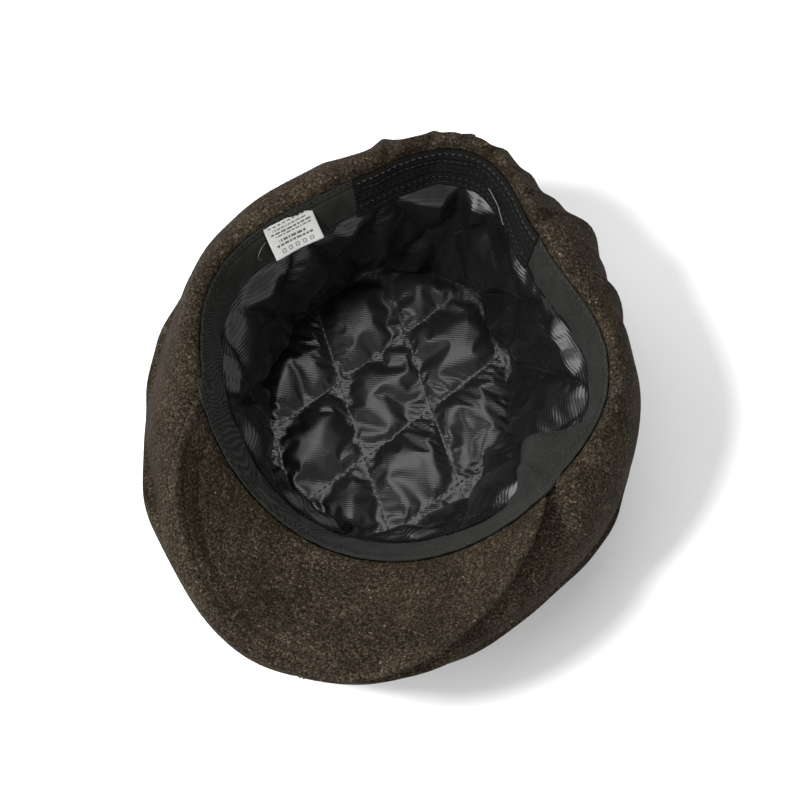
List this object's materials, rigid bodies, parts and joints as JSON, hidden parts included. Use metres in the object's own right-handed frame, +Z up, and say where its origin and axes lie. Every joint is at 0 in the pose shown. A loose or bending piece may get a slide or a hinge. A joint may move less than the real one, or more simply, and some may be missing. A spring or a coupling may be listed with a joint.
{
  "type": "newsboy cap",
  "caption": "Soft wool newsboy cap lying crown down, with a stiff crescent visor, a quilted satin lining, a twill sweatband and a gathered back elastic.",
  "frame": {"origin": "on the table, under the middle of the cap as it lies on its crown", "axes": "+Z up through the head opening, -Y towards the tip of the visor, +X towards the wearer's right"},
  "size_m": [0.2136, 0.2572, 0.1041],
  "materials": {
    "wool": "brushed melange wool, dark brown with paler fibres",
    "satin": "glossy black satin with a fine cross rib, quilted",
    "wadding": "white polyester wadding",
    "twill": "matt black twill tape",
    "elastic": "black ribbed elastic webbing",
    "thread": "black sewing thread",
    "label": "white woven satin",
    "board": "stiff visor board",
    "interlining": "thin felted interlining"
  },
  "bodies": {
    "cap": {"crown_top_panel": "wool", "crown_side_left": "wool", "crown_side_right": "wool", "crown_interlining": "interlining", "lining_top": "satin", "lining_side_left": "satin", "lining_side_right": "satin", "wadding_top": "wadding", "wadding_side_left": "wadding", "wadding_side_right": "wadding", "sweatband_front": "twill", "sweatband_left": "twill", "sweatband_right": "twill", "back_elastic": "elastic", "rim_stitching": "thread", "sweatband_stitching": "thread"},
    "visor": {"visor_under_cover": "wool", "visor_board": "board", "visor_top_cover": "wool", "visor_topstitching": "thread"},
    "label": {"care_label": "label", "label_stitching": "thread"}
  },
  "joints": [
    {"name": "visor_flex", "type": "hinge", "parent": "cap", "child": "visor", "pos_m": [0, -0.0321, 0.0902], "axis": [-1, 0, 0], "range_deg": [0, 12], "stiffness_Nm_per_rad": 0.15},
    {"name": "label_flap", "type": "hinge", "parent": "cap", "child": "label", "pos_m": [-0.0648, 0.0574, 0.0942], "axis": [-0.6813, -0.732, 0], "range_deg": [-12, 80]}
  ]
}
